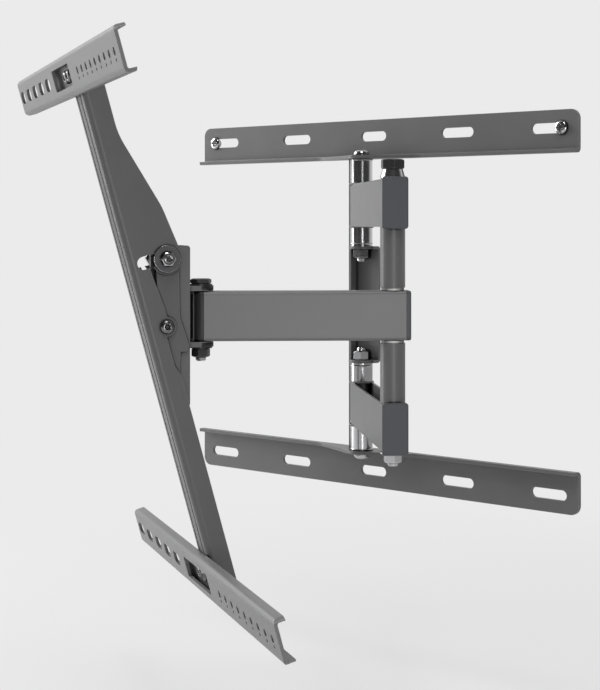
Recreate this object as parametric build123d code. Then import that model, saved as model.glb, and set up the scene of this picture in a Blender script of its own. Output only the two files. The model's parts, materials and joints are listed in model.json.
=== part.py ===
from build123d import *
import math
import os

os.makedirs("parts", exist_ok=True)

# A double arm wall mount for a flat screen, in millimetres.
# X runs right along the wall, -Y points into the room, +Z is up.
# The wall is the plane Y = 0 and the origin is the centre of the wall slot pattern.
# A heading is an angle seen from above, from straight out of the wall towards +X.

# Pose shown
link_heading = 47.4
arm_heading = -45.3
head_heading = -30.6
tilt_angle = 15.4
tilt_back_limit = 5.0

# Clearances
body_gap = 0.3
pin_clearance = 0.1
hole_clearance = 0.2

# Wall rails
rail_length = 428.0
rail_height = 36.0
rail_sheet = 3.0
rail_fold = 3.0
rail_corner = 8.0
rail_inner_z = 130.0
rail_flange = 10.0
rail_tab_radius = 13.0
rail_tab_half = 54.0
rail_tab_blend = 26.0
slot_row = 21.0
slot_end_margin = 28.8
slot_width = 8.7
slot_length = 34.3
middle_slot_length = 29.0
slot_pitch = (rail_length / 2 - slot_end_margin) / 2

# End screws of the upper rail
end_screw_head = 5.6
end_screw_rise = 3.2

# Wall pivots
pivot_out = 20.0
wall_bolt_radius = 4.0
wall_bolt_head = 7.2
wall_bolt_head_height = 5.0
wall_nut_flats = 13.0
wall_nut_height = 8.0
wall_bolt_tail = 3.0
wall_washer_radius = 9.9
wall_washer_thickness = 1.6

# Wall post
post_sheet = 2.5
post_side_offset = 11.0
post_front = 21.4
post_back = 3.0
post_web_y = 11.6
post_web_right = 14.0
post_half_height = 52.0
post_fold = 2.5
ledge_radius = 11.5

# Links
link_length = 170.0
link_width = 20.0
link_height = 38.0
link_middle_z = 88.5
link_sheet = 2.0
link_fold = 2.6
link_end = 11.0
bush_radius = 9.9

# Link end caps
cap_thickness = 2.5
cap_lip = 0.4
cap_overhang = 1.5
cap_corner = 2.4
cap_plug = 2.6

# Elbow
elbow_bolt_radius = 4.0
elbow_washer_thickness = 1.5
elbow_collar_height = 6.0
elbow_collar_top = 8.0
elbow_head_flats = 17.0
elbow_head_height = 8.0
elbow_nut_flats = 13.0
elbow_nut_height = 7.0
elbow_tail = 2.6
glide_thickness = 2.2
glide_radius = 9.0

# Front arm
arm_length = 151.0
arm_width = 20.0
arm_height = 39.0
arm_sheet = 2.0
arm_corner = 2.6
arm_end = 13.6
arm_cap_band = 4.0
arm_cap_plug = 1.2
crush_tube_radius = 8.0

# Head swivel
swivel_bolt_radius = 4.0
lug_radius = 9.8
lug_thickness = 4.0
swivel_head_flats = 15.0
swivel_head_height = 4.2
swivel_nut_flats = 13.0
swivel_nut_height = 7.0
swivel_tail = 3.0
swivel_washer_radius = 9.0
swivel_washer_thickness = 1.2

# Tilt pivot, seen from the swivel axis
tilt_forward = 31.0
tilt_drop = 7.0

# Swivel bracket, a channel that opens forwards and stands inside the column
bracket_back = 18.0
bracket_half_height = 62.5
bracket_half_width = 11.7
bracket_sheet = 2.5
bracket_fold = 2.0
bracket_front = 7.0
bracket_toe = 5.2
bracket_knee = 15.0
bracket_corner = 5.0
set_screw_height = 54.0
set_screw_head = 3.6
set_screw_rise = 2.0

# Rails behind the screen
tv_rail_length = 430.0
tv_rail_height = 32.0
tv_rail_sheet = 2.5
tv_rail_fold = 2.8
tv_rail_depth = 8.7
tv_rail_corner = 5.0
tv_rail_top = 203.7
tv_rail_spacing = 400.0
tv_end_margin = 15.0
tv_hole_start = 66.7
tv_slot_count = 5
tv_slot_length = 21.0
tv_slot_width = 10.5
tv_hole_count = 9
tv_hole_radius = 3.0
tv_index_radius = 1.3
tv_index_drop = 5.6
tv_window_length = 72.0
tv_window_height = 17.0
saddle_length = 120.0
saddle_thickness = 2.5
rail_bolt_radius = 3.0
rail_bolt_offset = 6.4
rail_bolt_head_radius = 5.2
rail_bolt_head_height = 3.4
rail_nut_flats = 10.0
rail_nut_height = 5.0

# Column, a channel that opens backwards
column_sheet = 2.0
column_fold = 4.0
column_front = 16.3
column_overhang = 10.5
column_neck = 2.4
column_foot = 1.1
column_shoulder = 25.1
column_shoulder_height = 57.7
column_slope_start = 152.0
column_slope_end = 90.0
column_ear_radius = 12.0
column_boss_radius = 7.5
column_edge_top = 1.5
column_edge_boss = -2.0
column_notch = 2.0
column_notch_bottom = -31.0
column_foot_top = -40.0
column_groove_offset = 6.5
column_groove_width = 2.6
column_groove_depth = 0.8

# Tilt plates between the bracket and the column
plate_sheet = 2.5
plate_top = 58.0
plate_back = 9.6
plate_hip = 10.9
plate_hip_height = 7.0
plate_flare = 17.8
plate_flare_height = -13.7
plate_foot = 11.3
plate_foot_height = -19.5
plate_tip = 10.6
plate_tip_height = -39.0
plate_bend_height = -12.0
plate_corner = 2.5
tilt_bolt_radius = 3.0
tilt_head_radius = 5.5
tilt_head_height = 3.6
tilt_nut_flats = 10.0
tilt_nut_height = 5.0
tilt_tail = 1.6
lock_height = 52.0
lock_shoulder_radius = 4.7
lock_head_flats = 16.0
lock_head_height = 5.6
lock_washer_radius = 10.4
lock_washer_thickness = 1.8
socket_flats = 5.0
socket_depth = 2.2

# Places worked out from the sizes above
link_bottom_z = link_middle_z - link_height / 2
link_top_z = link_middle_z + link_height / 2
arm_top_z = arm_height / 2
plate_outer = bracket_half_width + plate_sheet
column_inner = plate_outer + body_gap
column_half_width = column_inner + column_sheet
clamp_face = column_half_width + body_gap
tv_hole_reach = tv_rail_length / 2 - tv_end_margin
tv_rail_heights = (tv_rail_top, tv_rail_top - tv_rail_spacing)
column_top = tv_rail_top + column_overhang
column_bottom = tv_rail_heights[1] - column_overhang


def heading_frame(angle, x, y):
    """Frame with X along a heading and Z up."""
    return Location((x, y, 0), (0, 0, angle - 90))


def along(angle, distance, start):
    """Point at a distance along a heading from a start point."""
    turn = math.radians(angle)
    return (start[0] + distance * math.sin(turn), start[1] - distance * math.cos(turn))


wall_pivot = (0.0, -pivot_out)
elbow = along(link_heading, link_length, wall_pivot)
swivel = along(arm_heading, arm_length, elbow)
wall_pivot_frame = Location((wall_pivot[0], wall_pivot[1], 0))
link_frame = heading_frame(link_heading, *wall_pivot)
elbow_frame = heading_frame(link_heading, *elbow)
arm_frame = heading_frame(arm_heading, *elbow)
head_frame = heading_frame(head_heading, *swivel)
pivot_frame = head_frame * Location((tilt_forward, 0, -tilt_drop))
column_frame = pivot_frame * Location((0, 0, 0), (0, tilt_angle, 0))


def bar(radius, low, high):
    """Upright round bar between two heights."""
    return Pos(0, 0, low) * Cylinder(radius, high - low, align=(Align.CENTER, Align.CENTER, Align.MIN))


def ring(outer, inner, low, high):
    """Upright ring or tube between two heights."""
    return bar(outer, low, high) - bar(inner, low - 1, high + 1)


def hexagon(flats, low, high):
    """Upright hexagon bar with its corners turned off at both ends."""
    corner = flats / math.sqrt(3)
    blank = extrude(Pos(0, 0, low) * RegularPolygon(corner, 6), high - low)
    turned = bar(corner, low, high)
    return blank & chamfer(turned.edges().filter_by(GeomType.CIRCLE), 0.07 * flats, 0.12 * flats)


def dome(radius, low, high):
    """Upright round head with a rounded top."""
    head = bar(radius, low, high)
    return fillet(head.edges().group_by(Axis.Z)[-1], 0.8 * (high - low))


def mirrored(shape):
    """The same piece on the other side of the middle height."""
    return mirror(shape, about=Plane.XY)


def folded(points, sheet, radius):
    """Section of a folded sheet whose middle line passes through the points."""
    return trace(FilletPolyline(*points, radius=radius), line_width=sheet)


def rounded_rod(flats, head_low, head_high, radius, tail):
    """Hexagon head bolt that points down, with a chamfered tip."""
    rod = bar(radius, tail, head_low)
    rod = chamfer(rod.edges().group_by(Axis.Z)[0], 0.25 * radius)
    return rod + hexagon(flats, head_low, head_high)


def save(name, *solids):
    """Write one node, which may hold several like solids."""
    shape = solids[0] if len(solids) == 1 else Compound(children=list(solids))
    export_step(shape, f"parts/{name}.step")


# Wall rails
def rail_plan():
    """Outline of the rail from above: a strip with a round nose at the pivot."""
    back = Pos(0, -rail_flange / 2) * Rectangle(rail_length, rail_flange)
    rise = pivot_out - rail_flange
    reach = math.hypot(rail_tab_half, rise)
    touch = math.atan2(rise, rail_tab_half) - math.acos(rail_tab_radius / reach)
    side = rail_tab_radius * math.cos(touch)
    front = -pivot_out + rail_tab_radius * math.sin(touch)
    nose = make_face([
        Line((rail_tab_half, -rail_flange), (side, front)),
        ThreePointArc((side, front), (0, -pivot_out - rail_tab_radius), (-side, front)),
        Line((-side, front), (-rail_tab_half, -rail_flange)),
        Line((-rail_tab_half, -rail_flange), (rail_tab_half, -rail_flange)),
    ])
    outline = back + nose
    corners = [v for v in outline.vertices()
               if abs(abs(v.X) - rail_tab_half) < 0.01 and abs(v.Y + rail_flange) < 0.01]
    return fillet(corners, rail_tab_blend)


def wall_rail():
    """Upper rail: a sheet folded to an L, with its slots and its pivot tab."""
    middle = rail_sheet / 2
    depth = pivot_out + rail_tab_radius + 1
    section = folded([(-middle, rail_inner_z + rail_height),
                      (-middle, rail_inner_z + middle),
                      (-depth, rail_inner_z + middle)], rail_sheet, rail_fold)
    rail = extrude(Plane.YZ * section, rail_length / 2, both=True)
    rail &= extrude(rail_plan(), rail_inner_z + 2 * rail_height)
    face = Pos(0, rail_inner_z + rail_height / 2) * Rectangle(rail_length, rail_height)
    face = fillet(face.vertices().group_by(Axis.Y)[-1], rail_corner)
    rail &= extrude(Plane.XZ * face, depth)
    for step in range(-2, 3):
        length = slot_length if step else middle_slot_length
        slot = Pos(step * slot_pitch, rail_inner_z + slot_row) * SlotOverall(length, slot_width)
        rail -= extrude(Plane.XZ * slot, 2 * rail_sheet, both=True)
    rail -= wall_pivot_frame * bar(wall_bolt_radius + pin_clearance, rail_inner_z - 1, rail_inner_z + 2 * rail_sheet)
    return rail


def end_screw(side):
    """Domed screw in the outer end of the end slot, cut off at the wall."""
    x = 2 * slot_pitch + slot_length / 2 - slot_width / 2
    head = dome(end_screw_head, rail_sheet, rail_sheet + end_screw_rise)
    screw = head + bar(slot_width / 2 - hole_clearance, 0, rail_sheet)
    return Location((side * x, 0, rail_inner_z + slot_row), (90, 0, 0)) * screw


save("upper_wall_rail", wall_rail())
save("lower_wall_rail", mirrored(wall_rail()))
save("end_screws", end_screw(-1), end_screw(1))


# Wall post
def wall_post():
    """Tall side plate between the two wall rails."""
    side = Pos(-post_side_offset - post_sheet / 2, -(post_front + post_back) / 2) * Rectangle(
        post_sheet, post_front - post_back)
    return extrude(side, rail_inner_z, both=True)


def post_tray():
    """Short web with two ledges that hold the pivot bolts, bent from one sheet and welded to the side plate."""
    ledge_z = post_half_height - post_sheet / 2
    front = -pivot_out - ledge_radius - 1
    section = folded([(front, ledge_z), (-post_web_y, ledge_z),
                      (-post_web_y, -ledge_z), (front, -ledge_z)], post_sheet, post_fold)
    width = post_side_offset + post_web_right
    tray = Pos(-post_side_offset, 0, 0) * extrude(Plane.YZ * section, width)
    nose = Pos(0, -pivot_out) * Circle(ledge_radius)
    back = Pos((post_web_right - post_side_offset) / 2, -pivot_out / 2) * Rectangle(width, pivot_out)
    tray &= extrude(nose + back, 2 * post_half_height, both=True)
    bore = wall_pivot_frame * bar(wall_bolt_radius + pin_clearance, -rail_inner_z, rail_inner_z)
    return tray - bore


save("wall_post", wall_post())
save("post_tray", post_tray())


# Wall pivots
def pivot_bolt():
    """Domed bolt down through the rail tab, the link and the ledge of the post."""
    top = rail_inner_z + rail_sheet
    tail = post_half_height - post_sheet - wall_nut_height - wall_bolt_tail
    rod = bar(wall_bolt_radius, tail, top)
    rod = chamfer(rod.edges().group_by(Axis.Z)[0], 0.25 * wall_bolt_radius)
    return wall_pivot_frame * (rod + dome(wall_bolt_head, top, top + wall_bolt_head_height))


def pivot_nut():
    """Nut under the ledge of the post."""
    high = post_half_height - post_sheet
    nut = hexagon(wall_nut_flats, high - wall_nut_height, high)
    return wall_pivot_frame * (nut - bar(wall_bolt_radius, high - wall_nut_height - 1, high + 1))


def pivot_washer():
    """Thin washer that the lower bush turns on."""
    low = post_half_height
    return wall_pivot_frame * ring(wall_washer_radius, wall_bolt_radius, low, low + wall_washer_thickness)


save("upper_pivot_bolt", pivot_bolt())
save("lower_pivot_bolt", mirrored(pivot_bolt()))
save("wall_pivot_nuts", pivot_nut(), mirrored(pivot_nut()))
save("wall_pivot_washers", pivot_washer(), mirrored(pivot_washer()))


# Links
def link_plan(inset, end):
    """Outline of a link from above, round at the wall pivot."""
    half = link_width / 2 - inset
    straight = Pos(end / 2, 0) * Rectangle(end, 2 * half)
    return straight + Circle(half)


def link():
    """Upper link: a channel that opens towards the middle of the mount."""
    end = link_length + link_end
    shell = extrude(Pos(0, 0, link_bottom_z) * link_plan(0, end), link_height)
    rim = shell.edges().group_by(Axis.Z)[-1].filter_by(Axis.Y, reverse=True)
    shell = fillet(rim, link_fold)
    room = extrude(Pos(0, 0, link_bottom_z - 1) * link_plan(link_sheet, end + 1), link_height - link_sheet + 1)
    pivot_bore = bar(wall_bolt_radius + hole_clearance, link_bottom_z, link_top_z + 1)
    elbow_bore = bar(elbow_bolt_radius + hole_clearance, link_bottom_z, link_top_z + 1)
    return link_frame * (shell - room - pivot_bore - Pos(link_length, 0, 0) * elbow_bore)


def outer_bush():
    """Bush between the link and the rail tab."""
    return link_frame * ring(bush_radius, wall_bolt_radius + pin_clearance, link_top_z, rail_inner_z - body_gap)


def inner_bush():
    """Bush below the link, with a spigot up to the link's roof."""
    low = post_half_height + wall_washer_thickness + body_gap
    spigot = link_width / 2 - link_sheet
    blank = bar(bush_radius, low, link_bottom_z) + bar(spigot, low, link_top_z - link_sheet)
    return link_frame * (blank - bar(wall_bolt_radius + pin_clearance, low - 1, link_top_z))


def link_cap():
    """Moulded cap on the elbow end of a link."""
    end = link_length + link_end
    width = link_width + 2 * cap_lip
    low = link_bottom_z - cap_overhang
    height = link_height + 2 * cap_overhang
    cover = Pos(end + cap_thickness / 2, 0, low + height / 2) * Box(cap_thickness, width, height)
    cover = fillet(cover.edges().filter_by(Axis.X), cap_corner)
    cover = fillet(cover.faces().sort_by(Axis.X)[-1].edges(), 0.4 * cap_thickness)
    roof = link_top_z - link_sheet
    plug = Pos(end - cap_plug / 2, 0, (link_bottom_z + roof) / 2) * Box(
        cap_plug, link_width - 2 * link_sheet, roof - link_bottom_z)
    return link_frame * (cover + plug)


for name, build in (("link", link), ("outer_bush", outer_bush), ("inner_bush", inner_bush), ("link_cap", link_cap)):
    piece = build()
    save(f"upper_{name}", piece)
    save(f"lower_{name}", mirrored(piece))


# Elbow
glide_low = arm_top_z + hole_clearance
sleeve_low = glide_low + glide_thickness
washer_high = link_top_z + elbow_washer_thickness
collar_high = washer_high + elbow_collar_height


def elbow_sleeve():
    """Painted sleeve between the arm and the link, with a spigot up to the link's roof."""
    spigot = link_width / 2 - link_sheet
    blank = bar(bush_radius, sleeve_low, link_bottom_z) + bar(spigot, sleeve_low, link_top_z - link_sheet)
    return elbow_frame * (blank - bar(elbow_bolt_radius + hole_clearance, 0, link_top_z))


def elbow_collar():
    """Tapered collar under the bolt head."""
    taper = Pos(0, 0, washer_high) * Cone(bush_radius, elbow_collar_top, elbow_collar_height,
                                          align=(Align.CENTER, Align.CENTER, Align.MIN))
    return elbow_frame * (taper - bar(elbow_bolt_radius, washer_high - 1, collar_high + 1))


def elbow_nut():
    """Nut below the lower link."""
    nut = hexagon(elbow_nut_flats, -washer_high - elbow_nut_height, -washer_high)
    return elbow_frame * (nut - bar(elbow_bolt_radius, -washer_high - elbow_nut_height - 1, 0))


elbow_washer = elbow_frame * ring(bush_radius, elbow_bolt_radius, link_top_z, washer_high)
glide = elbow_frame * ring(glide_radius, elbow_bolt_radius + hole_clearance, glide_low, sleeve_low)
elbow_tip = -washer_high - elbow_nut_height - elbow_tail
save("elbow_bolt", elbow_frame * rounded_rod(elbow_head_flats, collar_high, collar_high + elbow_head_height,
                                             elbow_bolt_radius, elbow_tip))
save("elbow_collar", elbow_collar())
save("elbow_nut", elbow_nut())
save("elbow_washers", elbow_washer, mirrored(elbow_washer))
save("elbow_glides", glide, mirrored(glide))
save("upper_elbow_sleeve", elbow_sleeve())
save("lower_elbow_sleeve", mirrored(elbow_sleeve()))


# Front arm
def front_arm():
    """Rectangular tube, cut round at the swivel and fitted with a cap at the elbow."""
    start = arm_cap_band - arm_end
    length = arm_length + arm_width / 2 - start
    tube = Pos(start + length / 2, 0, 0) * Box(length, arm_width, arm_height)
    tube = fillet(tube.edges().filter_by(Axis.X), arm_corner)
    tube -= Pos(start + length / 2, 0, 0) * Box(length + 2, arm_width - 2 * arm_sheet, arm_height - 2 * arm_sheet)
    straight = arm_length - start
    plan = Pos(start + straight / 2, 0) * Rectangle(straight, arm_width) + Pos(arm_length, 0) * Circle(arm_width / 2)
    tube &= extrude(plan, arm_height, both=True)
    tube -= bar(elbow_bolt_radius + pin_clearance, -arm_height, arm_height)
    tube -= Pos(arm_length, 0, 0) * bar(swivel_bolt_radius + pin_clearance, -arm_height, arm_height)
    return arm_frame * tube


def arm_end_cap():
    """Moulded cap that closes the tube at the elbow."""
    start = -arm_end
    cover = Pos(start + arm_cap_band / 2, 0, 0) * Box(arm_cap_band, arm_width, arm_height)
    cover = fillet(cover.edges().filter_by(Axis.X), arm_corner)
    cover = fillet(cover.faces().sort_by(Axis.X)[0].edges(), 0.3 * arm_cap_band)
    plug = Pos(start + arm_cap_band + arm_cap_plug / 2, 0, 0) * Box(
        arm_cap_plug, arm_width - 2 * arm_sheet, arm_height - 2 * arm_sheet)
    return arm_frame * (cover + plug)


def arm_nose_plug():
    """Curved moulding that closes the tube round the swivel."""
    half = arm_height / 2 - arm_sheet
    shell = ring(arm_width / 2, crush_tube_radius, -half, half)
    return arm_frame * Pos(arm_length, 0, 0) * (shell & Pos(arm_width / 2, 0, 0) * Box(
        arm_width, 2 * (arm_width / 2 - arm_sheet), 2 * half))


def crush_tube(bolt_radius):
    """Tube that stops the arm from being squeezed flat by its bolt."""
    half = arm_height / 2 - arm_sheet
    return ring(crush_tube_radius, bolt_radius + pin_clearance, -half, half)


save("front_arm", front_arm())
save("arm_end_cap", arm_end_cap())
save("arm_nose_plug", arm_nose_plug())
save("arm_elbow_tube", arm_frame * crush_tube(elbow_bolt_radius))
save("arm_swivel_tube", arm_frame * Pos(arm_length, 0, 0) * crush_tube(swivel_bolt_radius))


# Swivel bracket
def bracket_side():
    """Side view of the bracket, with X forwards and Y up, measured from the tilt pivot."""
    outline = Polyline((-bracket_back, bracket_half_height),
                       (bracket_front, bracket_half_height),
                       (bracket_front, -bracket_knee),
                       (-bracket_toe, -bracket_half_height),
                       (-bracket_back, -bracket_half_height), close=True)
    face = make_face(outline)
    return fillet(face.vertices(), bracket_corner)


def swivel_bracket():
    """Folded channel with two lugs that hold the end of the arm."""
    middle = bracket_half_width - bracket_sheet / 2
    back = -bracket_back + bracket_sheet / 2
    section = folded([(bracket_front + 1, middle), (back, middle),
                      (back, -middle), (bracket_front + 1, -middle)], bracket_sheet, bracket_fold)
    body = extrude(section, bracket_half_height, both=True)
    body &= extrude(Plane.XZ * bracket_side(), 2 * bracket_half_width, both=True)
    cross = Rot(90, 0, 0) * bar(tilt_bolt_radius + hole_clearance, -2 * bracket_half_width, 2 * bracket_half_width)
    lock = Rot(90, 0, 0) * bar(lock_shoulder_radius + hole_clearance, -2 * bracket_half_width, 2 * bracket_half_width)
    body -= cross
    body -= Pos(0, 0, lock_height) * lock
    body -= Pos(0, 0, set_screw_height) * Rot(0, 90, 0) * bar(set_screw_head / 2 + hole_clearance, -2 * bracket_back, 0)
    reach = tilt_forward - bracket_back
    plan = Circle(lug_radius) + Pos(reach / 2, 0) * Rectangle(reach, 2 * lug_radius)
    low = arm_top_z + body_gap
    lug = extrude(Pos(0, 0, low) * plan, lug_thickness) - bar(swivel_bolt_radius + hole_clearance, 0, arm_height)
    lugs = lug + mirrored(lug)
    return head_frame * (Location((tilt_forward, 0, -tilt_drop)) * body + lugs)


def set_screw():
    """Small screw through the back of the bracket."""
    wall = bar(set_screw_head / 2, bracket_back - bracket_sheet - 1, bracket_back)
    screw = wall + dome(set_screw_head, bracket_back, bracket_back + set_screw_rise)
    return pivot_frame * Pos(0, 0, set_screw_height) * Rot(0, -90, 0) * screw


lug_top = arm_top_z + body_gap + lug_thickness
swivel_seat = lug_top + swivel_washer_thickness
swivel_tip = -swivel_seat - swivel_nut_height - swivel_tail
swivel_washer = head_frame * ring(swivel_washer_radius, swivel_bolt_radius, lug_top, swivel_seat)
swivel_nut = hexagon(swivel_nut_flats, -swivel_seat - swivel_nut_height, -swivel_seat)
swivel_nut -= bar(swivel_bolt_radius, swivel_tip, 0)
save("swivel_bracket", swivel_bracket())
save("set_screw", set_screw())
save("swivel_bolt", head_frame * rounded_rod(swivel_head_flats, swivel_seat, swivel_seat + swivel_head_height,
                                             swivel_bolt_radius, swivel_tip))
save("swivel_nut", head_frame * swivel_nut)
save("swivel_washers", swivel_washer, mirror(swivel_washer, about=Plane.XY))


# Tilt plates
def tilt_plate(side):
    """Plate on the side of the bracket, inside the column, that both bolts pass through."""
    outline = Polyline((bracket_front, plate_top),
                       (bracket_front, plate_bend_height),
                       (-plate_tip, plate_tip_height),
                       (-plate_foot, plate_foot_height),
                       (-plate_flare, plate_foot_height),
                       (-plate_flare, plate_flare_height),
                       (-plate_hip, plate_hip_height),
                       (-plate_back, plate_top), close=True)
    face = make_face(outline)
    flare = [v for v in face.vertices() if v.X < -plate_flare + 0.01]
    face = fillet(flare, plate_corner)
    plate = extrude(Plane.XZ * face, plate_sheet)
    plate -= Rot(90, 0, 0) * bar(tilt_bolt_radius + hole_clearance, -1, plate_sheet + 1)
    plate -= Pos(0, 0, lock_height) * Rot(90, 0, 0) * bar(lock_shoulder_radius + hole_clearance, -1, plate_sheet + 1)
    y = plate_outer if side > 0 else -bracket_half_width
    return pivot_frame * Pos(0, y, 0) * plate


save("right_tilt_plate", tilt_plate(1))
save("left_tilt_plate", tilt_plate(-1))


# Tilt bolts, which lie along the rails of the screen
across = pivot_frame * Rot(-90, 0, 0)


def socket(top):
    """Hexagon recess for a key, open at the top."""
    return extrude(Pos(0, 0, top - socket_depth) * RegularPolygon(socket_flats / math.sqrt(3), 6), socket_depth + 1)


def tilt_bolt():
    """Button head bolt that the column turns on."""
    low = -clamp_face - tilt_nut_height - tilt_tail
    head = dome(tilt_head_radius, clamp_face, clamp_face + tilt_head_height)
    return bar(tilt_bolt_radius, low, clamp_face) + (head - socket(clamp_face + tilt_head_height))


def tilt_nut():
    """Nut on the far side of the tilt pivot."""
    nut = hexagon(tilt_nut_flats, -clamp_face - tilt_nut_height, -clamp_face)
    return nut - bar(tilt_bolt_radius, -clamp_face - tilt_nut_height - 1, 0)


def lock_bolt():
    """Shoulder bolt that slides in the curved slots of the column."""
    tail = clamp_face + lock_washer_thickness + tilt_nut_height + tilt_tail
    shoulder = bar(lock_shoulder_radius, -clamp_face, clamp_face)
    head = hexagon(lock_head_flats, -clamp_face - lock_head_height, -clamp_face)
    thread = bar(tilt_bolt_radius, clamp_face, tail)
    return shoulder + head + (thread - socket(tail))


def lock_nut():
    """Nut that is loosened to set the tilt."""
    low = clamp_face + lock_washer_thickness
    return hexagon(tilt_nut_flats, low, low + tilt_nut_height) - bar(tilt_bolt_radius, low - 1, 2 * low)


lock_place = pivot_frame * Pos(0, 0, lock_height) * Rot(-90, 0, 0)
save("tilt_bolt", across * tilt_bolt())
save("tilt_nut", across * tilt_nut())
save("lock_bolt", lock_place * lock_bolt())
save("lock_nut", lock_place * lock_nut())
save("lock_washer", lock_place * ring(lock_washer_radius, tilt_bolt_radius, clamp_face,
                                      clamp_face + lock_washer_thickness))


# Column
def column_side():
    """Side view of the column, with X forwards and Y up, measured from the tilt pivot."""
    front = column_front + 1
    outline = Polyline((front, column_bottom), (front, column_top), (-column_neck, column_top),
                       (-column_neck, column_slope_start),
                       (-0.82 * column_shoulder, column_slope_end),
                       (-column_shoulder, column_shoulder_height),
                       (column_edge_top, lock_height),
                       (column_edge_boss, 2 * column_boss_radius),
                       (column_edge_boss, 0),
                       (column_notch, -column_boss_radius),
                       (column_notch, column_notch_bottom),
                       (-column_foot, column_foot_top),
                       (-column_foot, column_bottom), close=True)
    face = make_face(outline)
    slope = [v for v in face.vertices()
             if abs(v.Y - column_slope_start) < 0.01 or abs(v.Y - column_slope_end) < 0.01]
    face = fillet(slope, 60)
    rest = math.radians(90 + tilt_angle)
    ear = Pos(lock_height * math.cos(rest), lock_height * math.sin(rest)) * Circle(column_ear_radius)
    return face + ear + Circle(column_boss_radius)


def lock_slot():
    """Curved slot about the tilt pivot, with X forwards and Y up."""
    back = math.radians(90 + tilt_angle)
    front = math.radians(90 - tilt_back_limit)
    middle = (back + front) / 2
    points = [(lock_height * math.cos(a), lock_height * math.sin(a)) for a in (back, middle, front)]
    return SlotArc(ThreePointArc(*points), 2 * (lock_shoulder_radius + body_gap))


def column():
    """Channel with a deep shoulder for the tilt lock and two lengthwise grooves."""
    middle = column_half_width - column_sheet / 2
    front = column_front - column_sheet / 2
    deep = -column_shoulder - column_ear_radius
    section = folded([(deep, middle), (front, middle), (front, -middle), (deep, -middle)], column_sheet, column_fold)
    height = column_top - column_bottom
    body = Pos(0, 0, column_bottom) * extrude(section, height)
    body &= extrude(Plane.XZ * column_side(), 2 * column_half_width, both=True)
    body -= extrude(Plane.XZ * lock_slot(), 2 * column_half_width, both=True)
    body -= Rot(90, 0, 0) * bar(tilt_bolt_radius + pin_clearance, -2 * column_half_width, 2 * column_half_width)
    for side in (-1, 1):
        groove = Box(2 * column_groove_depth, column_groove_width, height + 2)
        body -= Pos(column_front, side * column_groove_offset, (column_top + column_bottom) / 2) * groove
        for z in tv_rail_heights:
            hole = Rot(0, 90, 0) * bar(rail_bolt_radius + hole_clearance, 0, 2 * column_front)
            body -= Pos(0, side * rail_bolt_offset, z) * hole
    return column_frame * body


save("column", column())


# Rails behind the screen
def tv_rail(height):
    """Channel rail with slots on one side and a row of small holes on the other."""
    half = tv_rail_height / 2
    middle = half - tv_rail_sheet / 2
    front = column_front + tv_rail_depth
    web = front - tv_rail_sheet / 2
    section = folded([(column_front, middle), (web, middle), (web, -middle), (column_front, -middle)],
                     tv_rail_sheet, tv_rail_fold)
    rail = extrude(Plane.XZ * section, tv_rail_length / 2, both=True)
    face = Rectangle(tv_rail_length, tv_rail_height)
    face = fillet(face.vertices(), tv_rail_corner)
    rail &= extrude(Plane.YZ * face, 2 * front)
    cuts = [RectangleRounded(tv_window_length, tv_window_height, 2)]
    slot_step = (tv_hole_reach - tv_hole_start) / (tv_slot_count - 1)
    for index in range(tv_slot_count):
        cuts.append(Pos(-tv_hole_reach + index * slot_step, 0) * SlotOverall(tv_slot_length, tv_slot_width))
    hole_step = (tv_hole_reach - tv_hole_start) / (tv_hole_count - 1)
    for index in range(tv_hole_count):
        place = tv_hole_reach - index * hole_step
        cuts.append(Pos(place, 0) * Circle(tv_hole_radius))
        cuts.append(Pos(place, -tv_index_drop) * Circle(tv_index_radius))
    for cut in cuts:
        rail -= extrude(Plane.YZ * cut, 2 * front)
    return column_frame * Pos(0, 0, height) * rail


def saddle(height):
    """Plate welded between the flanges of a rail and bolted to the column."""
    inner = tv_rail_height - 2 * tv_rail_sheet
    plate = Pos(column_front + saddle_thickness / 2, 0, 0) * Box(saddle_thickness, saddle_length, inner)
    for side in (-1, 1):
        hole = Rot(0, 90, 0) * bar(rail_bolt_radius + hole_clearance, 0, 2 * column_front)
        plate -= Pos(0, side * rail_bolt_offset, 0) * hole
    return column_frame * Pos(0, 0, height) * plate


def rail_places():
    """Frames of the four rail bolts, with Z pointing forwards."""
    return [column_frame * Pos(0, side * rail_bolt_offset, z) * Rot(0, 90, 0)
            for z in tv_rail_heights for side in (-1, 1)]


seat = column_front + saddle_thickness
inside = column_front - column_sheet
rail_bolt = dome(rail_bolt_head_radius, seat, seat + rail_bolt_head_height)
rail_bolt -= socket(seat + rail_bolt_head_height)
rail_bolt += bar(rail_bolt_radius, inside - rail_nut_height - 1, seat)
rail_nut = hexagon(rail_nut_flats, inside - rail_nut_height, inside) - bar(rail_bolt_radius, 0, seat)
save("upper_tv_rail", tv_rail(tv_rail_heights[0]))
save("lower_tv_rail", tv_rail(tv_rail_heights[1]))
save("upper_saddle", saddle(tv_rail_heights[0]))
save("lower_saddle", saddle(tv_rail_heights[1]))
save("rail_bolts", *[place * rail_bolt for place in rail_places()])
save("rail_nuts", *[place * rail_nut for place in rail_places()])
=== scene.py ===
# %% [markdown]
# A double arm wall mount for a screen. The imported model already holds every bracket, arm, bolt and washer at
# its real size, so this scene adds what the eye needs: paint, plating and plastic, threads on the bolt ends,
# lips on the bushes, weld beads, screw heads, mouldings, soft light and the camera. All lengths are in
# metres, in the frame of the model.

# %% Load the frame
import json
import math

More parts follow.
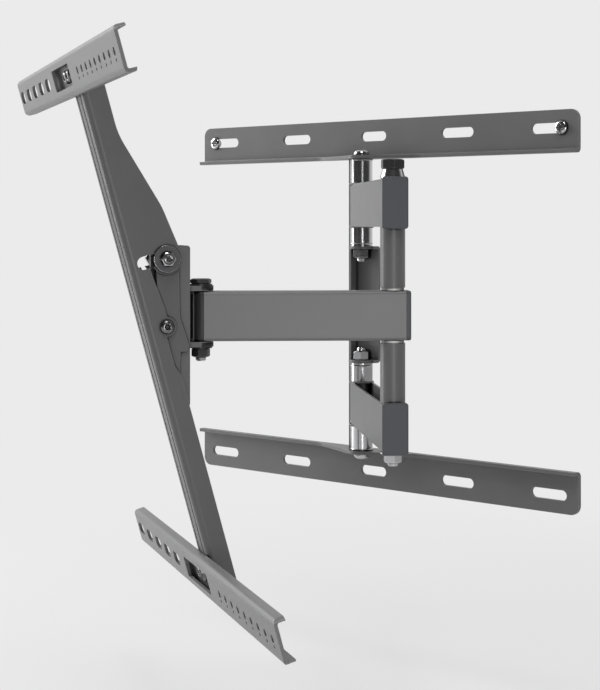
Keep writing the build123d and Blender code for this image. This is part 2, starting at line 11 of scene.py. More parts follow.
import bpy
import numpy as np
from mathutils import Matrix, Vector


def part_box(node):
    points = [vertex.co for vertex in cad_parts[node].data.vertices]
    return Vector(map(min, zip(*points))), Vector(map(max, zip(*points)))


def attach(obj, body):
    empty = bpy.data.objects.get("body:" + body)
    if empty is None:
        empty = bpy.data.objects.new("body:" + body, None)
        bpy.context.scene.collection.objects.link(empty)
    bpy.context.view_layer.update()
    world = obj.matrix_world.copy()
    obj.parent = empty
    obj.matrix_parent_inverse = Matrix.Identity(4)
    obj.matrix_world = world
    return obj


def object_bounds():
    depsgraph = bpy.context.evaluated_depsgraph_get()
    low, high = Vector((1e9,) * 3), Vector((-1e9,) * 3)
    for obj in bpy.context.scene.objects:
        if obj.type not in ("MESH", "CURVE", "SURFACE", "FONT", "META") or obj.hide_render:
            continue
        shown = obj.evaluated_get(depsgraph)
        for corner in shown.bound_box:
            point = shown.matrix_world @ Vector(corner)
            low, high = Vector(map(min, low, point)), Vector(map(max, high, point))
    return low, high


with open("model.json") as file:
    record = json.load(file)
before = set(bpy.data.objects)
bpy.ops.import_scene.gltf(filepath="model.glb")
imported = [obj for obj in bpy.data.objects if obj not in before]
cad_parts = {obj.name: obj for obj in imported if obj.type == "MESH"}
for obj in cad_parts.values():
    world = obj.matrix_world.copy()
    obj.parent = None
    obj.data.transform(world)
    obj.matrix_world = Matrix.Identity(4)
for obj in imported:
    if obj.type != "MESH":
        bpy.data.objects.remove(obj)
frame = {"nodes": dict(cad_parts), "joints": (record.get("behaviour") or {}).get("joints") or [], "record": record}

scene = bpy.context.scene
cad_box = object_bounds()
MM = 0.001
print("nodes:", len(frame["nodes"]), "box:", [[round(v, 4) for v in corner] for corner in cad_box])

# %% [markdown]
# The camera stands to the right of the mount and looks past it to the left, a little above its middle. The
# photograph is a shifted crop, so the lens is shifted down instead of tipping the camera, which keeps the
# upright edges upright.

# %% Camera
IMAGE_WIDTH = 600
IMAGE_HEIGHT = 690
FOCAL_PIXELS = 1588.0
HORIZON_ROW = 218.5
SENSOR_WIDTH = 36.0
CAMERA_PLACE = (0.8968, -1.1238, 0.0720)
CAMERA_TURN_DEGREES = (90.19, 0.0, 41.31)

camera_data = bpy.data.cameras.new("camera")
camera_data.sensor_fit = "HORIZONTAL"
camera_data.sensor_width = SENSOR_WIDTH
camera_data.lens = FOCAL_PIXELS * SENSOR_WIDTH / IMAGE_WIDTH
camera_data.shift_y = (HORIZON_ROW - IMAGE_HEIGHT / 2) / IMAGE_WIDTH
camera = bpy.data.objects.new("camera", camera_data)
camera.location = CAMERA_PLACE
camera.rotation_euler = [math.radians(degrees) for degrees in CAMERA_TURN_DEGREES]
scene.collection.objects.link(camera)
scene.camera = camera
scene.view_settings.view_transform = "Standard"
print("lens in millimetres:", round(camera_data.lens, 2))

# %% [markdown]
# Effects that several materials share are node groups. The first is the mottle of any made surface: a slow
# noise that lightens and darkens a colour by a few percent, and a fine one that lifts the surface like the
# orange peel of powder paint. On plated parts the fine noise is squeezed along Z, which gives the thin rings
# that a lathe leaves. Both read Object coordinates, so they stay put when the mount moves.


# %% Surface grain group
def add_group(name, inputs, outputs):
    """A new shader node group with float inputs, and its two end nodes."""
    group = bpy.data.node_groups.new(name, "ShaderNodeTree")
    for label, default in inputs:
        socket = group.interface.new_socket(label, in_out="INPUT", socket_type="NodeSocketFloat")
        socket.default_value = default
    for label in outputs:
        group.interface.new_socket(label, in_out="OUTPUT", socket_type="NodeSocketFloat")
    return group, group.nodes.new("NodeGroupInput"), group.nodes.new("NodeGroupOutput")


def add_math(tree, operation, first, second, clamp=False):
    """Math node whose two inputs are sockets or numbers."""
    node = tree.nodes.new("ShaderNodeMath")
    node.operation = operation
    node.use_clamp = clamp
    for place, value in ((0, first), (1, second)):
        if isinstance(value, (int, float)):
            node.inputs[place].default_value = value
        else:
            tree.links.new(value, node.inputs[place])
    return node.outputs[0]


def add_noise(tree, vector, scale, detail):
    """Noise texture on a vector, with its scale from a socket."""
    noise = tree.nodes.new("ShaderNodeTexNoise")
    noise.inputs["Detail"].default_value = detail
    tree.links.new(vector, noise.inputs["Vector"])
    tree.links.new(scale, noise.inputs["Scale"])
    return noise.outputs["Fac"]


MOTTLE_DETAIL = 3.0
GRAIN_DETAIL = 2.0


def build_grain_group():
    """Slow mottle, and fine height from noise on Object coordinates whose Z is multiplied by the stretch."""
    group, start, end = add_group(
        "surface_grain", [("Mottle Scale", 30.0), ("Grain Scale", 1800.0), ("Stretch", 1.0)],
        ["Mottle", "Height"])
    place = group.nodes.new("ShaderNodeTexCoord").outputs["Object"]
    factors = group.nodes.new("ShaderNodeCombineXYZ")
    factors.inputs["X"].default_value = 1.0
    factors.inputs["Y"].default_value = 1.0
    group.links.new(start.outputs["Stretch"], factors.inputs["Z"])
    stretched = group.nodes.new("ShaderNodeVectorMath")
    stretched.operation = "MULTIPLY"
    group.links.new(place, stretched.inputs[0])
    group.links.new(factors.outputs[0], stretched.inputs[1])
    mottle = add_noise(group, place, start.outputs["Mottle Scale"], MOTTLE_DETAIL)
    group.links.new(mottle, end.inputs["Mottle"])
    height = add_noise(group, stretched.outputs[0], start.outputs["Grain Scale"], GRAIN_DETAIL)
    group.links.new(height, end.inputs["Height"])
    return group


grain_group = build_grain_group()

# %% [markdown]
# Edges of painted steel wear first, and light catches them in thin highlights. The group compares the true normal
# with one rounded over a small radius: where they differ there is an edge. A noise breaks the mask up, so that the
# lighter edge comes and goes. The lighter edge colour is partly real wear and partly a painted highlight.


# %% Edge wear group
EDGE_MASK_RADIUS = 0.9 * MM
BEVEL_SAMPLES = 4


def build_wear_and_highlight_group():
    """Mask that is one on edges: one minus the dot product of the flat and the rounded normal, broken up."""
    group, start, end = add_group("edge_wear_and_highlight", [("Gain", 6.0), ("Break Up", 120.0)], ["Mask"])
    rounded = group.nodes.new("ShaderNodeBevel")
    rounded.samples = BEVEL_SAMPLES
    rounded.inputs["Radius"].default_value = EDGE_MASK_RADIUS
    flat = group.nodes.new("ShaderNodeNewGeometry")
    dot = group.nodes.new("ShaderNodeVectorMath")
    dot.operation = "DOT_PRODUCT"
    group.links.new(rounded.outputs["Normal"], dot.inputs[0])
    group.links.new(flat.outputs["Normal"], dot.inputs[1])
    edge = add_math(group, "SUBTRACT", 1.0, dot.outputs["Value"])
    place = group.nodes.new("ShaderNodeTexCoord").outputs["Object"]
    patches = add_noise(group, place, start.outputs["Break Up"], MOTTLE_DETAIL)
    broken = add_math(group, "MULTIPLY", edge, patches)
    worn_or_highlit = add_math(group, "MULTIPLY", broken, start.outputs["Gain"], clamp=True)
    group.links.new(worn_or_highlit, end.inputs["Mask"])
    return group


wear_and_highlight_group = build_wear_and_highlight_group()

# %% [markdown]
# Where two sheets lie close together, the narrow gap between them is in shade and reads as a dark line, and this
# group paints that shade into the colour. Ambient occlusion over a few millimetres finds those places.


# %% Crevice group
CREVICE_REACH = 3.0 * MM
OCCLUSION_SAMPLES = 8


def build_crevice_shade_group():
    """Crevice mask: one minus the open share of the space near a point, less a threshold, times the gain."""
    group, start, end = add_group("crevice_painted_shade", [("Gain", 1.6), ("Open", 0.16)], ["Mask"])
    space = group.nodes.new("ShaderNodeAmbientOcclusion")
    space.samples = OCCLUSION_SAMPLES
    space.inputs["Distance"].default_value = CREVICE_REACH
    closed = add_math(group, "SUBTRACT", 1.0, space.outputs["AO"])
    beyond = add_math(group, "SUBTRACT", closed, start.outputs["Open"])
    deep = add_math(group, "MULTIPLY", beyond, start.outputs["Gain"], clamp=True)
    group.links.new(deep, end.inputs["Mask"])
    return group


crevice_shade_group = build_crevice_shade_group()

# %% [markdown]
# Every finish of the mount is the same recipe with other numbers: a base colour that varies a little, a roughness
# that varies with it, painted shade in crevices, worn edges that also carry a painted highlight, and a fine bump.
# Only the numbers tell satin grey paint from black paint, zinc plating and moulded plastic.


# %% Finish recipe
def place_group(tree, group, **values):
    """Group node in a material, with its inputs set."""
    node = tree.nodes.new("ShaderNodeGroup")
    node.node_tree = group
    for label, value in values.items():
        node.inputs[label.replace("_", " ")].default_value = value
    return node.outputs


def blend_colour(tree, factor, first, second):
    """Mix of two colours, the first of which may be a socket."""
    node = tree.nodes.new("ShaderNodeMix")
    node.data_type = "RGBA"
    tree.links.new(factor, node.inputs["Factor"])
    node.inputs["B"].default_value = (*second, 1.0)
    if isinstance(first, tuple):
        node.inputs["A"].default_value = (*first, 1.0)
    else:
        tree.links.new(first, node.inputs["A"])
    return node.outputs["Result"]


BUMP_DISTANCE = 0.3 * MM
ROUNDING_RADIUS = 0.4 * MM


def finish(name, dark, light, edge, rough, metallic=0.0, bump=0.02, grain=1800.0, wear_and_highlight=6.0, mottle=30.0,
           stretch=1.0, crevice_shade_tone=0.05, crevice_shade_gain=5.0):
    """Material that runs from dark to light with the mottle, to painted shade in crevices, and to edge where worn
    and highlit.
    """
    material = bpy.data.materials.new(name)
    material.use_nodes = True
    tree = material.node_tree
    shader = tree.nodes["Principled BSDF"]
    shader.inputs["Metallic"].default_value = metallic
    surface = place_group(tree, grain_group, Mottle_Scale=mottle, Grain_Scale=grain, Stretch=stretch)
    worn_or_highlit = place_group(tree, wear_and_highlight_group, Gain=wear_and_highlight)
    shade_in_crevices = place_group(tree, crevice_shade_group, Gain=crevice_shade_gain)
    base = blend_colour(tree, surface["Mottle"], dark, light)
    # Painted shade: the crevice mask darkens the colour in narrow gaps and joints.
    base = blend_colour(tree, shade_in_crevices["Mask"], base, tuple(crevice_shade_tone * v for v in dark))
    # Lighter edge colour where the edge mask is high: real wear and also a painted highlight.
    base = blend_colour(tree, worn_or_highlit["Mask"], base, edge)
    tree.links.new(base, shader.inputs["Base Color"])
    gloss = tree.nodes.new("ShaderNodeMapRange")
    gloss.inputs["To Min"].default_value = rough[0]
    gloss.inputs["To Max"].default_value = rough[1]
    tree.links.new(surface["Mottle"], gloss.inputs["Value"])
    tree.links.new(gloss.outputs["Result"], shader.inputs["Roughness"])
    lift = tree.nodes.new("ShaderNodeBump")
    lift.inputs["Strength"].default_value = bump
    lift.inputs["Distance"].default_value = BUMP_DISTANCE
    soft = tree.nodes.new("ShaderNodeBevel")
    soft.samples = BEVEL_SAMPLES
    soft.inputs["Radius"].default_value = ROUNDING_RADIUS
    tree.links.new(soft.outputs["Normal"], lift.inputs["Normal"])
    tree.links.new(surface["Height"], lift.inputs["Height"])
    tree.links.new(lift.outputs["Normal"], shader.inputs["Normal"])
    return material


# Each finish gives its dark, light and edge colours and its two ends of roughness, in this order.
finishes = {
    "paint": finish("satin_grey_paint", (0.108, 0.108, 0.109), (0.126, 0.126, 0.127), (0.24, 0.24, 0.245),
                    (0.34, 0.42), bump=0.10),
    "black_paint": finish("black_paint", (0.018, 0.018, 0.019), (0.026, 0.026, 0.027), (0.08, 0.08, 0.08),
                          (0.32, 0.42), bump=0.08),
    "plated_steel": finish("bright_plating", (0.44, 0.44, 0.45), (0.64, 0.64, 0.65), (0.80, 0.80, 0.80),
                           (0.10, 0.18), metallic=1.0, bump=0.05, grain=700.0, stretch=12.0, crevice_shade_gain=1.2),
    "cap_plastic": finish("moulded_plastic", (0.055, 0.058, 0.066), (0.066, 0.069, 0.078),
                          (0.10, 0.10, 0.11), (0.42, 0.52), bump=0.12, grain=2600.0, wear_and_highlight=2.0),
    "glide_plastic": finish("nylon", (0.62, 0.62, 0.60), (0.70, 0.70, 0.68), (0.75, 0.75, 0.73),
                            (0.35, 0.45), bump=0.02, wear_and_highlight=1.0),
}
dull_plating = finish("dull_plating", (0.15, 0.15, 0.155), (0.23, 0.23, 0.235), (0.75, 0.75, 0.75),
                      (0.22, 0.32), metallic=1.0, bump=0.05, grain=1200.0)
dark_plating = finish("dark_plating", (0.10, 0.10, 0.105), (0.22, 0.22, 0.225), (0.45, 0.45, 0.45),
                      (0.30, 0.42), metallic=1.0, bump=0.08, grain=900.0, mottle=160.0)
# The lighter copies of the grey paint for the screen rails and the arm are painted light. The darker copy for the
# column and its plates is painted shade.
lit_rail_paint = finish("screen_rail_paint_painted_light", (0.150, 0.150, 0.151), (0.174, 0.174, 0.175), (0.30, 0.30, 0.305),
                    (0.34, 0.42), bump=0.10)
shaded_column_paint = finish("column_grey_paint_painted_shade", (0.092, 0.092, 0.093), (0.106, 0.106, 0.107), (0.24, 0.24, 0.245),
                      (0.34, 0.42), bump=0.10)
lit_arm_paint = finish("arm_grey_paint_painted_light", (0.140, 0.140, 0.141), (0.162, 0.162, 0.163), (0.28, 0.28, 0.285),
                   (0.34, 0.42), bump=0.10)
nose_plastic = finish("black_moulding", (0.006, 0.006, 0.0065), (0.010, 0.010, 0.011), (0.03, 0.03, 0.03),
                      (0.38, 0.46), bump=0.10, grain=2600.0, wear_and_highlight=2.0)
print("finishes:", sorted(finishes))

# %% [markdown]
# The record names a material slot for each node, so one loop dresses them all. A node's mesh keeps its shape: only
# its material slot is filled. A few nodes differ from their slot on the real mount: the bracket is painted grey,
# the fasteners of the head are duller than the bushes, and the arm's nose is black. The arm and the screen rails
# get a lighter copy of the grey paint, which is painted light for the light and reflection that fall on them. The
# column and its plates get a darker copy, which is painted shade.

# %% Dress the nodes
special = {"swivel_bracket": finishes["paint"], "lock_washer": dull_plating, "tilt_bolt": dull_plating,
           "arm_nose_plug": nose_plastic, "set_screw": dull_plating, "rail_bolts": dark_plating,
           "front_arm": lit_arm_paint, "upper_tv_rail": lit_rail_paint, "lower_tv_rail": lit_rail_paint,
           "column": shaded_column_paint, "right_tilt_plate": shaded_column_paint, "left_tilt_plate": shaded_column_paint}
for subpart in frame["record"]["subparts"]:
    mesh = frame["nodes"][subpart["node"]].data
    mesh.materials.clear()
    mesh.materials.append(special.get(subpart["node"], finishes[subpart["material_slot"]]))

# %% [markdown]
# New pieces are surfaces on a grid. A function gives one point for each pair of grid numbers, as whole numpy
# arrays, and the faces join each point to its neighbours. A grid that closes on itself round the piece needs
# only a cap at each end to be a closed body.


# %% Grid surface helper
def place_piece(name, points, faces, smooth, body, material):
    """New piece from points and faces, smooth where the flags say so, riding on its body."""
    mesh = bpy.data.meshes.new(name)
    mesh.from_pydata(points.reshape(-1, 3).tolist(), [], faces)
    mesh.polygons.foreach_set("use_smooth", smooth)
    mesh.materials.append(material)
    piece = bpy.data.objects.new(name, mesh)
    scene.collection.objects.link(piece)
    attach(piece, body)
    return piece


def grid_piece(name, points, body, material):
    """Closed piece from rings of points: faces join neighbours round and along, and caps close the ends."""
    rings, around = points.shape[:2]
    index = np.arange(rings * around).reshape(rings, around)
    lower, upper = index[:-1], index[1:]
    quads = np.stack([lower, np.roll(lower, -1, 1), np.roll(upper, -1, 1), upper], axis=-1).reshape(-1, 4)
    faces = [tuple(index[0][::-1])] + quads.tolist() + [tuple(index[-1])]
    smooth = np.r_[False, np.ones(len(quads), bool), False]
    return place_piece(name, points, faces, smooth, body, material)


def axis_frame(axis):
    """Two unit vectors across an axis and the axis itself, as the columns of a matrix, right-handed."""
    w = np.array(axis, float) / np.linalg.norm(axis)
    upright = abs(w[2]) > 0.9
    u = np.cross((0.0, 1.0, 0.0) if upright else (0.0, 0.0, 1.0), w)
    u /= np.linalg.norm(u)
    return np.column_stack([u, np.cross(w, u), w])


def turned(profile, around, base, axis, ripple=None):
    """Rings of a turned shape: radius and height pairs carried round an axis, with a ripple if given."""
    radius, height = np.array(profile, float).T
    angle = np.linspace(0, 2 * math.pi, around, endpoint=False)
    waves = ripple(height[:, None], angle[None, :]) if ripple else np.zeros((1, around))
    r = radius[:, None] + waves
    heights = np.broadcast_to(height[:, None], r.shape)
    local = np.stack([r * np.cos(angle), r * np.sin(angle), heights], axis=-1)
    return local @ axis_frame(axis).T + np.array(base, float)


# %% [markdown]
# A screw thread is a ridge that climbs one pitch for each turn. On a grid of height and angle, the ridge is
# a triangle wave of height over pitch less angle over a full turn. It fades at the tip, which is chamfered.
# Each bolt shows a turn or two past its nut.


# %% Bolt threads
UP = np.array((0.0, 0.0, 1.0))
M8_RADIUS = 4.0 * MM
M8_PITCH = 1.25 * MM
M6_RADIUS = 3.0 * MM
M6_PITCH = 1.0 * MM
RIDGE_SHARE = 0.30
THREAD_LIFT = 0.02 * MM
CHAMFER_SHARE = 0.12
CHAMFER_TURNS = 0.8
RINGS_PER_TURN = 10
FEWEST_RINGS = 12
THREAD_AROUND = 48


def thread(name, body, base, axis, radius, length, pitch):
    """Threaded bolt end: a core with a chamfered tip, plus the ridge."""
    height = np.linspace(0, length, max(FEWEST_RINGS, int(RINGS_PER_TURN * length / pitch)))

    def ridge(z, angle):
        """Triangle wave of height over pitch less angle over a full turn, faded over the last pitch."""
        wave = np.abs(2 * ((z / pitch - angle / (2 * math.pi)) % 1.0) - 1)
        fade = np.clip((length - z) / pitch, 0, 1)
        return RIDGE_SHARE * pitch * wave * fade

    chamfer = np.clip(1 - (length - height) / (CHAMFER_TURNS * pitch), 0, 1)
    core = radius + THREAD_LIFT - CHAMFER_SHARE * radius * chamfer
    rings = turned(np.column_stack([core, height]), THREAD_AROUND, base, axis, ridge)
    return grid_piece(name, rings, body, finishes["plated_steel"])


# %% [markdown]
# The bolts stand on the joints' axes, so each thread is placed by its distance from the joint along that
# axis, at the end of the bolt past its nut.

# %% Threads in place
PIVOT_START = 41.5 * MM
PIVOT_LENGTH = 3.1 * MM
ELBOW_START = 116.0 * MM
ELBOW_LENGTH = 2.7 * MM
SWIVEL_START = 32.0 * MM
SWIVEL_LENGTH = 3.1 * MM
TILT_START = 21.8 * MM
TILT_LENGTH = 1.7 * MM
pivots = {joint["name"]: np.array(joint["pos_m"], float) for joint in frame["joints"]}
axes = {joint["name"]: np.array(joint["axis"], float) for joint in frame["joints"]}
tilt_axis = axes["screen_tilt"]
for label, side in (("upper", 1), ("lower", -1)):
    thread(label + "_pivot_thread", "wall_frame", pivots["link_swing"] + side * PIVOT_START * UP, -side * UP,
           M8_RADIUS, PIVOT_LENGTH, M8_PITCH)
thread("elbow_thread", "links", pivots["arm_fold"] - ELBOW_START * UP, -UP,
       M8_RADIUS, ELBOW_LENGTH, M8_PITCH)
thread("swivel_thread", "head", pivots["head_swivel"] - SWIVEL_START * UP, -UP,
       M8_RADIUS, SWIVEL_LENGTH, M8_PITCH)
thread("tilt_thread", "head", pivots["screen_tilt"] - TILT_START * tilt_axis, -tilt_axis,
       M6_RADIUS, TILT_LENGTH, M6_PITCH)
for label, turns in (("pivot", PIVOT_LENGTH / M8_PITCH), ("elbow", ELBOW_LENGTH / M8_PITCH),
                     ("swivel", SWIVEL_LENGTH / M8_PITCH), ("tilt", TILT_LENGTH / M6_PITCH)):
    print(label, "thread turns:", round(turns, 1))

# %% [markdown]
# The bushes that the links turn on are pressed tubes whose ends are rolled over, which leaves a thin bright
# lip. A bead is a small circle carried round the tube, so it is the simplest grid of all: one angle goes
# round the bush, the other round the bead.


# %% Rolled lips
BEAD_AROUND = 96
BEAD_SECTION = 16
LUMP_COUNT = 17
LIP_INSET = 0.7 * MM
LIP_RADIUS = 0.45 * MM
LIP_HEIGHT_SHARE = 1.3


def bead(name, body, centre, ring_radius, bead_radius, material, squeeze=1.0, lumps=0.0):
    """Ring round Z: a circle with soft lumps carried round the ring, its height times the squeeze."""
    around = np.linspace(0, 2 * math.pi, BEAD_AROUND, endpoint=False)[:, None]
    section = np.linspace(0, 2 * math.pi, BEAD_SECTION, endpoint=False)[None, :]
    size = bead_radius * (1 + lumps * np.sin(LUMP_COUNT * around))
    reach = ring_radius + size * np.cos(section)
    height = squeeze * size * np.sin(section)
    points = np.stack([reach * np.cos(around), reach * np.sin(around), height], axis=-1)
    points += np.array(centre, float)
    index = np.arange(BEAD_AROUND * BEAD_SECTION).reshape(BEAD_AROUND, BEAD_SECTION)
    right, above = np.roll(index, -1, 0), np.roll(index, -1, 1)
    corner = np.roll(right, -1, 1)
    quads = np.stack([index, right, corner, above], axis=-1).reshape(-1, 4)
    return place_piece(name, points, quads.tolist(), np.ones(len(quads), bool), body, material)


for node in ("upper_outer_bush", "upper_inner_bush", "lower_inner_bush", "lower_outer_bush"):
    low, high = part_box(node)
    middle = (low + high) / 2
    bush_radius = (high.x - low.x) / 2
    for label, height in (("foot", low.z + LIP_INSET), ("head", high.z - LIP_INSET)):
        bead(f"{node}_{label}_lip", "links", (middle.x, middle.y, height), bush_radius, LIP_RADIUS,
             finishes["plated_steel"], squeeze=LIP_HEIGHT_SHARE)
    print(node, "radius", round(bush_radius / MM, 2), "length", round((high.z - low.z) / MM, 1))

# %% [markdown]
# Each link is welded to its bush above and below. A weld is a thicker bead whose size swells and shrinks a
# little on its way round, and it is painted over with the link.

# %% Welds at the links
WELD_RADIUS = 1.1 * MM
WELD_LIFT = 0.2 * MM
WELD_LUMPS = 0.10
for side in ("upper", "lower"):
    low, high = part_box(side + "_link")
    bush_low, bush_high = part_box(side + "_inner_bush")
    weld_ring = (bush_high.x - bush_low.x) / 2 + WELD_LIFT
    for label, height in (("top", high.z), ("bottom", low.z)):
        bead(f"{side}_link_{label}_weld", "links", (*pivots["link_swing"][:2], height), weld_ring,
             WELD_RADIUS, finishes["paint"], lumps=WELD_LUMPS)
    print(side, "link from", round(low.z / MM, 1), "to", round(high.z / MM, 1))

# %% [markdown]
# The screws at the ends of the upper wall rail are pan heads with a cross recess. The head is a polar grid:
# its height is a low dome, from which the cross is taken away with soft steps, so the recess is real
# geometry and not a dark mark.


# %% Cross head screws
HEAD_RINGS = 44
HEAD_AROUND = 120
SHOULDER = 0.985
RIM_SHARE = 0.45
CROSS_HALF_WIDTH = 0.17
CROSS_WIDTH_STEP = 0.09
CROSS_REACH = 0.58
CROSS_REACH_STEP = 0.14
RECESS_SHARE = 0.62


def soft_step(value, width):
    """Smooth rise from nought to one as the value goes from nought to the width."""
    t = np.clip(value / width, 0, 1)
    return t * t * (3 - 2 * t)


def cross_head(name, body, base, axis, radius, height):
    """Pan head: a rim plus the root of one less the fourth power of the radius, less a soft cross."""
    share = np.r_[1.0, 1.0, np.linspace(SHOULDER, 0.0, HEAD_RINGS)][:, None]
    angle = np.linspace(0, 2 * math.pi, HEAD_AROUND, endpoint=False)[None, :]
    x, y = radius * share * np.cos(angle), radius * share * np.sin(angle)
    dome = height * (RIM_SHARE + (1 - RIM_SHARE) * np.sqrt(np.clip(1 - share ** 4, 0, 1)))
    narrow = np.minimum(np.abs(x), np.abs(y))
    wide = np.maximum(np.abs(x), np.abs(y))
    cross = soft_step(CROSS_HALF_WIDTH * radius - narrow, CROSS_WIDTH_STEP * radius)
    cross *= soft_step(CROSS_REACH * radius - wide, CROSS_REACH_STEP * radius)
    level = dome - RECESS_SHARE * height * cross
    level[0] = 0.0
    points = np.stack([x, y, level], axis=-1) @ axis_frame(axis).T + np.array(base, float)
    return grid_piece(name, points, body, finishes["plated_steel"])


# %% [markdown]
# Each head is laid over the plain one of the model: a hair wider and higher, so that it hides it.

# %% End screws
SCREW_HEIGHT = 3.2 * MM
COVER_SHARE = 1.01
COVER_LIFT = 0.15 * MM
screws_low, screws_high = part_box("end_screws")
screw_radius = (screws_high.z - screws_low.z) / 2
screw_z = (screws_low.z + screws_high.z) / 2
for label, screw_x in (("left", screws_low.x + screw_radius), ("right", screws_high.x - screw_radius)):
    cross_head(label + "_end_screw_head", "wall_frame", (screw_x, screws_low.y + SCREW_HEIGHT, screw_z),
               (0, -1, 0), COVER_SHARE * screw_radius, SCREW_HEIGHT + COVER_LIFT)
    print(label, "end screw at", round(screw_x / MM, 1), "radius", round(screw_radius / MM, 2))

# %% [markdown]
# Where the arm meets the swivel, a black moulding wraps its end and the two lugs, and the back of the
# bracket stands close against it. The moulding's band is a rounded rectangle carried a few millimetres along
# the arm, just proud of the tube.


# %% Swivel moulding
def rounded_outline(half_width, half_height, corner, steps=8):
    """Closed outline: at each corner of a rectangle, a quarter circle of the corner's radius."""
    turn = np.linspace(0, math.pi / 2, steps)
    quarters = []
    for quarter, (sx, sy) in enumerate(((1, 1), (-1, 1), (-1, -1), (1, -1))):
        angle = turn + quarter * math.pi / 2
        quarters.append(np.column_stack([sx * (half_width - corner) + corner * np.cos(angle),
                                         sy * (half_height - corner) + corner * np.sin(angle)]))
    return np.vstack(quarters)


def carried(outline, stations, base, across, up, along):
    """Outline carried straight along a direction, one ring at each station, scaled by its share."""
    rings = [base + outline[:, :1] * share * across + outline[:, 1:] * share * up + place * along
             for place, share in stations]
    return np.array(rings)


ARM_HALF_WIDTH = 10.0 * MM
PROUD = 0.12 * MM
BAND_CORNER = 2.7 * MM
BAND_STATIONS = ((-4.9 * MM, 1.0), (2.2 * MM, 1.0), (2.5 * MM, 0.99))
arm_low, arm_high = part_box("front_arm")
arm_half_height = (arm_high.z - arm_low.z) / 2
swivel = pivots["head_swivel"]
arm_along = pivots["arm_fold"] - swivel
arm_along /= np.linalg.norm(arm_along)
band = rounded_outline(ARM_HALF_WIDTH + PROUD, arm_half_height + PROUD, BAND_CORNER)
band_rings = carried(band, BAND_STATIONS, swivel, np.cross(UP, arm_along), UP, arm_along)
grid_piece("arm_nose_band", band_rings, "arm", nose_plastic)
print("arm half height", round(arm_half_height / MM, 2))

# %% [markdown]
# The covers of the lugs are low turned discs. Each reaches from just inside its lug to the washer above or
# below it, with a small chamfer at both edges.

# %% Lug covers
LUG_RADIUS = 10.0 * MM
LUG_NEAR = 20.6 * MM
LUG_GAP = 0.10 * MM
LUG_CORE = 0.2 * MM
NEAR_CHAMFER = 0.2 * MM
EDGE_CHAMFER = 0.3 * MM
LUG_AROUND = 72
WASHER_THICKNESS = 1.2 * MM
washer_low, washer_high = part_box("swivel_washers")
for label, side in (("upper", 1), ("lower", -1)):
    far = washer_high.z - WASHER_THICKNESS if side > 0 else -(washer_low.z + WASHER_THICKNESS)
    profile = [(LUG_CORE, LUG_NEAR - LUG_GAP), (LUG_RADIUS - EDGE_CHAMFER, LUG_NEAR - LUG_GAP),
               (LUG_RADIUS, LUG_NEAR + NEAR_CHAMFER), (LUG_RADIUS, far),
               (LUG_RADIUS - EDGE_CHAMFER, far + LUG_GAP), (LUG_CORE, far + LUG_GAP)]
    cover_rings = turned(profile, LUG_AROUND, swivel, side * UP)
    grid_piece(label + "_lug_cover", cover_rings, "head", nose_plastic)
    print(label, "lug cover from", round(LUG_NEAR / MM, 1), "to", round(far / MM, 1))

# %% [markdown]
# The bracket's back is a bar with rounded corners, carried across the head from one cheek of the bracket to
# the other. It starts clear of the arm's moulding, so that the head can swivel to both its limits.

# %% Bracket back
BACK_NEAR = 11.5 * MM
BACK_FAR = 20.8 * MM
BACK_INSET = 0.3 * MM
BACK_CORNER = 2.4 * MM
BRACKET_HALF_WIDTH = 11.82 * MM
bracket_low, bracket_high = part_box("swivel_bracket")
head_normal = np.cross(tilt_axis, UP)
head_normal *= np.sign(np.dot(head_normal, pivots["screen_tilt"] - swivel))
bracket_middle = swivel + ((bracket_low.z + bracket_high.z) / 2 - swivel[2]) * UP
back_middle = bracket_middle + (BACK_NEAR + BACK_FAR) / 2 * head_normal
back_outline = rounded_outline((BACK_FAR - BACK_NEAR) / 2,
                               (bracket_high.z - bracket_low.z) / 2 - BACK_INSET, BACK_CORNER)
back_rings = carried(back_outline, ((-BRACKET_HALF_WIDTH, 1.0), (BRACKET_HALF_WIDTH, 1.0)), back_middle,
                     head_normal, UP, np.cross(head_normal, UP))
grid_piece("bracket_back", back_rings, "head", finishes["paint"])
print("bracket back from", round(BACK_NEAR / MM, 1), "to", round(BACK_FAR / MM, 1), "of the swivel axis")

# %% [markdown]
# The floor is pale and lies well below the mount, which is held by the wall. Near the mount it keeps the
# soft shadow. Further out it shows the camera the same pale colour as the world, so that no horizon line is
# left.

# %% Floor
PALE = 0.83
FLOOR_DROP = 0.12
FLOOR_HALF = 6.0
SHADOW_CORE = 0.25
SHADOW_REACH = 1.1
GLOW_IN_SHADOW = 0.55


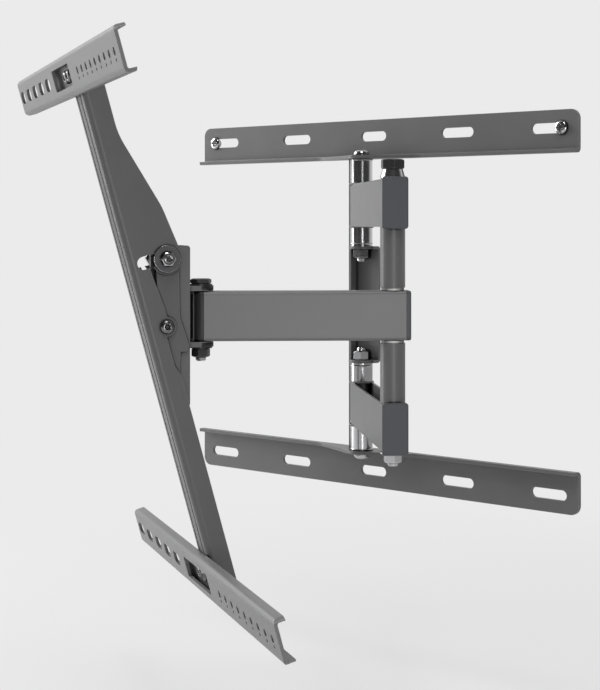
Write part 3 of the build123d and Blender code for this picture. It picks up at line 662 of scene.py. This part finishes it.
def pale_floor_material():
    """Diffuse floor that takes shadows, blended by distance from the mount with a glow for the camera."""
    material = bpy.data.materials.new("pale_floor")
    material.use_nodes = True
    tree = material.node_tree
    tree.nodes.clear()
    matte = tree.nodes.new("ShaderNodeBsdfDiffuse")
    matte.inputs["Color"].default_value = (PALE, PALE, PALE, 1.0)
    glow = tree.nodes.new("ShaderNodeEmission")
    glow.inputs["Color"].default_value = (PALE, PALE, PALE, 1.0)
    distance = tree.nodes.new("ShaderNodeVectorMath")
    distance.operation = "LENGTH"
    tree.links.new(tree.nodes.new("ShaderNodeTexCoord").outputs["Object"], distance.inputs[0])
    far = tree.nodes.new("ShaderNodeMapRange")
    far.interpolation_type = "SMOOTHSTEP"
    far.inputs["From Min"].default_value = SHADOW_CORE
    far.inputs["From Max"].default_value = SHADOW_REACH
    far.inputs["To Min"].default_value = GLOW_IN_SHADOW
    tree.links.new(distance.outputs["Value"], far.inputs["Value"])
    rays = tree.nodes.new("ShaderNodeLightPath")
    seen = add_math(tree, "MAXIMUM", rays.outputs["Is Camera Ray"], rays.outputs["Is Transmission Ray"])
    share = add_math(tree, "MULTIPLY", seen, far.outputs["Result"])
    mix = tree.nodes.new("ShaderNodeMixShader")
    tree.links.new(share, mix.inputs["Fac"])
    tree.links.new(matte.outputs[0], mix.inputs[1])
    tree.links.new(glow.outputs[0], mix.inputs[2])
    end = tree.nodes.new("ShaderNodeOutputMaterial")
    tree.links.new(mix.outputs[0], end.inputs["Surface"])
    return material


floor_z = cad_box[0][2] - FLOOR_DROP
floor_corners = ((-FLOOR_HALF, -FLOOR_HALF), (FLOOR_HALF, -FLOOR_HALF), (FLOOR_HALF, FLOOR_HALF),
                 (-FLOOR_HALF, FLOOR_HALF))
floor_mesh = bpy.data.meshes.new("floor")
floor_mesh.from_pydata([(x, y, floor_z) for x, y in floor_corners], [], [(0, 1, 2, 3)])
floor_mesh.materials.append(pale_floor_material())
floor = bpy.data.objects.new("floor", floor_mesh)
scene.collection.objects.link(floor)
print("floor at", round(floor_z, 4))

# %% [markdown]
# Satin paint shows what it mirrors, so the light is large and soft. A wide lamp on the left makes the faces
# that look left bright, a weaker one fills from the camera's side, one lights the top flanges, and a low one
# on the left stands for the light that a pale floor throws back.

# %% Lamps
AIM = Vector((0.0, -0.15, 0.0))


def area_lamp(name, place, size, power):
    """Square lamp at a place, turned to face the mount."""
    data = bpy.data.lights.new(name, "AREA")
    data.shape = "SQUARE"
    data.size = size
    data.energy = power
    lamp = bpy.data.objects.new(name, data)
    lamp.location = place
    lamp.rotation_euler = (AIM - Vector(place)).to_track_quat("-Z", "Y").to_euler()
    scene.collection.objects.link(lamp)
    return lamp


area_lamp("key", (-2.4, -0.9, 1.2), size=1.4, power=56.0)
area_lamp("fill", (1.6, -1.4, -0.1), size=0.45, power=5.4)
area_lamp("top", (0.9, -1.0, 2.2), size=0.8, power=22.0)
area_lamp("low", (-1.7, -0.8, -0.05), size=0.5, power=5.0)

# %% [markdown]
# Polished metal needs something dark to mirror, or it turns into a white shape. The world is pale all round
# for the camera, but what glossy surfaces see has a dim sector on the camera's side, like the unlit end of a
# studio. That gives the bushes the upright dark and bright bands that a turned tube shows.

# %% World
DIFFUSE_STRENGTH = 0.40
DIM_STRENGTH = 0.06
DIM_START = -0.45
DIM_FULL = 0.30

world = bpy.data.worlds.new("pale_world")
world.use_nodes = True
scene.world = world
tree = world.node_tree
sky = tree.nodes["Background"]
sky.inputs["Color"].default_value = (PALE, PALE, PALE, 1.0)
towards_camera = Vector((camera.location.x, camera.location.y, 0.0)).normalized()
facing = tree.nodes.new("ShaderNodeVectorMath")
facing.operation = "DOT_PRODUCT"
facing.inputs[1].default_value = towards_camera
tree.links.new(tree.nodes.new("ShaderNodeTexCoord").outputs["Generated"], facing.inputs[0])
studio = tree.nodes.new("ShaderNodeMapRange")
studio.interpolation_type = "SMOOTHSTEP"
studio.inputs["From Min"].default_value = DIM_START
studio.inputs["From Max"].default_value = DIM_FULL
studio.inputs["To Min"].default_value = 1.0
studio.inputs["To Max"].default_value = DIM_STRENGTH
tree.links.new(facing.outputs["Value"], studio.inputs["Value"])
rays = tree.nodes.new("ShaderNodeLightPath")
shiny = tree.nodes.new("ShaderNodeMix")
shiny.inputs["A"].default_value = DIFFUSE_STRENGTH
tree.links.new(rays.outputs["Is Glossy Ray"], shiny.inputs["Factor"])
tree.links.new(studio.outputs["Result"], shiny.inputs["B"])
clear = add_math(tree, "MAXIMUM", rays.outputs["Is Camera Ray"], rays.outputs["Is Transmission Ray"])
tree.links.new(add_math(tree, "MAXIMUM", clear, shiny.outputs["Result"]), sky.inputs["Strength"])
